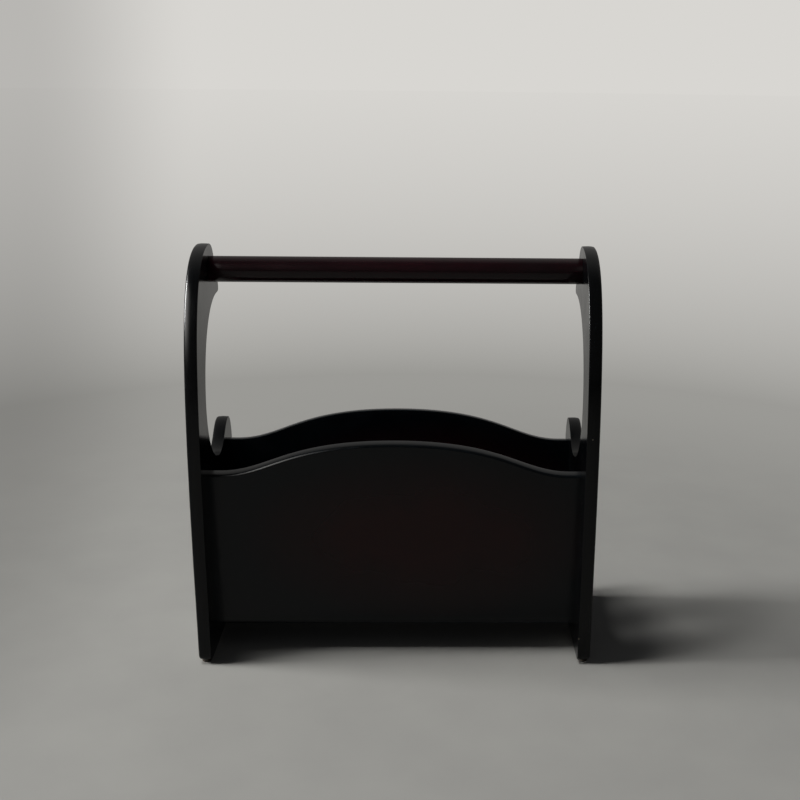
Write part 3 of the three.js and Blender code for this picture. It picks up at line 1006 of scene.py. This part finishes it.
curtain = reckon(
    tree, "MULTIPLY",
    reckon(tree, "MULTIPLY", curtain_foot, curtain_top),
    reckon(tree, "MULTIPLY", curtain_right, curtain_back),
)
curtain_glow = reckon(tree, "MULTIPLY", GLOSS_OF_CURTAIN, curtain)
mirrored_air = add(tree, "ShaderNodeBackground", {
    "Color": linear(FAR_SURROUND),
    "Strength": reckon(tree, "ADD", reckon(tree, "ADD", wall, GLOSS_OF_ROOM), curtain_glow),
})
shade_air = add(tree, "ShaderNodeBackground", {"Color": linear("#f6f8ff"), "Strength": SHADE_LIGHT})
# Painted shade: the surround seen straight on is darker towards the far left.
seen_air = add(tree, "ShaderNodeBackground", {
    "Color": linear(FAR_SURROUND),
    "Strength": change(tree, towards["X"], *LEFT_SHADE_ENDS, LEFT_SHADE, 1, smooth=True),
})
rays = add(tree, "ShaderNodeLightPath", {}).outputs
unseen_air = add(tree, "ShaderNodeMixShader", {
    0: rays["Is Glossy Ray"], 1: shade_air.outputs["Background"], 2: mirrored_air.outputs["Background"],
})
seen = reckon(tree, "MAXIMUM", rays["Is Camera Ray"], rays["Is Transmission Ray"])
air = add(tree, "ShaderNodeMixShader", {
    0: seen, 1: unseen_air.outputs["Shader"], 2: seen_air.outputs["Background"],
})
add(tree, "ShaderNodeOutputWorld", {"Surface": air.outputs["Shader"]})
bpy.context.scene.world = world


# Lamps
# Soft window light comes from the left, high enough not to slip under the left panel, and a weaker soft
# light from above the front left. Gloss mirrors neither: it mirrors the window's glass, an upright strip.


def soft_lamp(name, place, width, height, power):
    """A soft lamp that faces the middle of the basket."""
    lamp = bpy.data.lights.new(name, "AREA")
    lamp.shape = "RECTANGLE"
    lamp.size, lamp.size_y = width, height
    lamp.energy = power
    holder = bpy.data.objects.new(name, lamp)
    bpy.context.scene.collection.objects.link(holder)
    middle = Vector((0, 0, head_top / 2))
    holder.location = place
    holder.rotation_euler = (middle - Vector(place)).to_track_quat("-Z", "Y").to_euler()
    return holder


window_lamp = soft_lamp("window_lamp", place=(-4.1, 0, 2.2), width=1.2, height=1.2, power=187)
window_lamp.visible_glossy = False
ceiling_lamp = soft_lamp("ceiling_lamp", place=(-1.2, -0.32, 4.2), width=0.45, height=1.6, power=78)
ceiling_lamp.visible_glossy = False
window_glass = soft_lamp("window_glass", place=(-2.45, -0.6, 1.55), width=0.6, height=1.5, power=300)
window_glass.visible_diffuse = False


# Camera
# It stands where the photographer stood: a little right of the middle, looking 15 degrees down. Its
# place, turn and lens were fitted to the basket's outlines, and the lens looks through PHOTO_CENTRE,
# a place in the picture in pixels.

CAMERA_LENS = 54
CAMERA_PLACE = (0.0366, -1.1983, 0.5913)
CAMERA_PITCH = math.radians(90 - 15.26)
CAMERA_YAW = math.radians(-1.417)
CAMERA_ROLL = math.radians(0.639)
PHOTO_SIZE = 800
PHOTO_CENTRE = (460.7, 394.5)

camera_data = bpy.data.cameras.new("camera")
camera_data.lens = CAMERA_LENS
camera_data.shift_x = 0.5 - PHOTO_CENTRE[0] / PHOTO_SIZE
camera_data.shift_y = PHOTO_CENTRE[1] / PHOTO_SIZE - 0.5
camera = bpy.data.objects.new("camera", camera_data)
bpy.context.scene.collection.objects.link(camera)
camera.matrix_world = (
    Matrix.Translation(CAMERA_PLACE)
    @ Matrix.Rotation(CAMERA_YAW, 4, "Z")
    @ Matrix.Rotation(CAMERA_PITCH, 4, "X")
    @ Matrix.Rotation(CAMERA_ROLL, 4, "Z")
)
bpy.context.scene.camera = camera
bpy.context.scene.view_settings.view_transform = "Standard"
